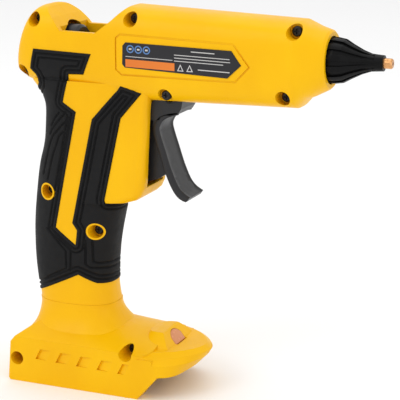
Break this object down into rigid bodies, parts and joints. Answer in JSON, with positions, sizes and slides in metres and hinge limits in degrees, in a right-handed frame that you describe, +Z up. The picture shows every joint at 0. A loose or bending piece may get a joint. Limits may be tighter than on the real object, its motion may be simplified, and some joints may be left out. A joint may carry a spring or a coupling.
{
  "type": "glue gun",
  "caption": "Cordless hot-melt glue gun with a pistol grip, open stick trough, fluted nozzle boot, long trigger and a slide-on battery foot.",
  "frame": {"origin": "centre of the bounding box in plan, on the plane the foot stands on", "axes": "+X forward out of the nozzle, +Y to the tool's left, +Z up"},
  "size_m": [0.2164, 0.061, 0.2189],
  "materials": {
    "shell_yellow": "satin",
    "grip_charcoal": "matte",
    "black_plastic": "satin",
    "gloss_black": "gloss",
    "boot_silicone": "matte",
    "label_film": "satin",
    "screw_steel": "black oxide",
    "polished_steel": "ground",
    "spring_steel": "drawn",
    "chamber_aluminium": "cast",
    "shield_steel": "rolled",
    "nozzle_brass": "machined",
    "sleeve_silicone": "matte",
    "support_ceramic": "matte",
    "heater_ceramic": "matte",
    "board_green": "satin",
    "component_black": "matte",
    "terminal_black": "matte",
    "terminal_tin": "plated",
    "lead_red": "satin",
    "lead_black": "satin",
    "lead_white": "satin",
    "button_amber": "translucent",
    "led_lens": "clear"
  },
  "bodies": {
    "body": {"housing_right": "shell_yellow", "housing_left": "shell_yellow", "grip_overmould_right": "grip_charcoal", "grip_overmould_left": "grip_charcoal", "label_plate_right": "label_film", "label_plate_left": "label_film", "housing_screws": "screw_steel", "rear_guide_collar": "gloss_black", "pivot_sleeve": "polished_steel", "trigger_spring": "spring_steel", "inlet_sleeve": "sleeve_silicone", "sleeve_clamp_ring": "spring_steel", "heating_chamber": "chamber_aluminium", "heater_plate": "heater_ceramic", "heater_clip": "spring_steel", "thermistor": "component_black", "thermal_fuse": "polished_steel", "chamber_support_rear": "support_ceramic", "chamber_support_front": "support_ceramic", "heat_shield": "shield_steel", "nozzle": "nozzle_brass", "nozzle_valve_ball": "polished_steel", "nozzle_valve_spring": "spring_steel", "nozzle_boot": "boot_silicone", "control_board": "board_green", "board_components": "component_black", "terminal_block": "terminal_black", "terminal_blades": "terminal_tin", "battery_leads": "lead_red", "heater_lead_right": "lead_red", "heater_lead_left": "lead_black", "sensor_lead": "lead_white", "switch_board": "board_green", "tact_switch": "component_black", "indicator_led": "led_lens"},
    "trigger": {"trigger": "black_plastic"},
    "feed": {"feed_carriage": "black_plastic", "clamp_pin": "polished_steel", "clamp_spring": "spring_steel"},
    "clamp": {"stick_clamp": "polished_steel"},
    "button": {"power_button": "button_amber"}
  },
  "joints": [
    {"name": "trigger_pivot", "type": "hinge", "parent": "body", "child": "trigger", "pos_m": [-0.0135, 0, 0.1723], "axis": [0, 1, 0], "range_deg": [0, 16], "stiffness_Nm_per_rad": 0.3, "springref_deg": -17.19},
    {"name": "feed_slide", "type": "slide", "parent": "body", "child": "feed", "axis": [1, 0, 0], "range_m": [0, 0.0065]},
    {"name": "clamp_tilt", "type": "hinge", "parent": "feed", "child": "clamp", "pos_m": [-0.0185, 0, 0.2068], "axis": [0, 1, 0], "range_deg": [0, 6.2]},
    {"name": "power_button_press", "type": "slide", "parent": "body", "child": "button", "axis": [-0.788, 0, -0.6157], "range_m": [0, 0.0008], "stiffness_N_per_m": 900, "springref_m": -0.0006}
  ],
  "couplings": [
    {"joint": "feed_slide", "follows": "trigger_pivot", "m_per_rad": 0.0225},
    {"joint": "clamp_tilt", "follows": "trigger_pivot", "ratio": 0.375}
  ]
}
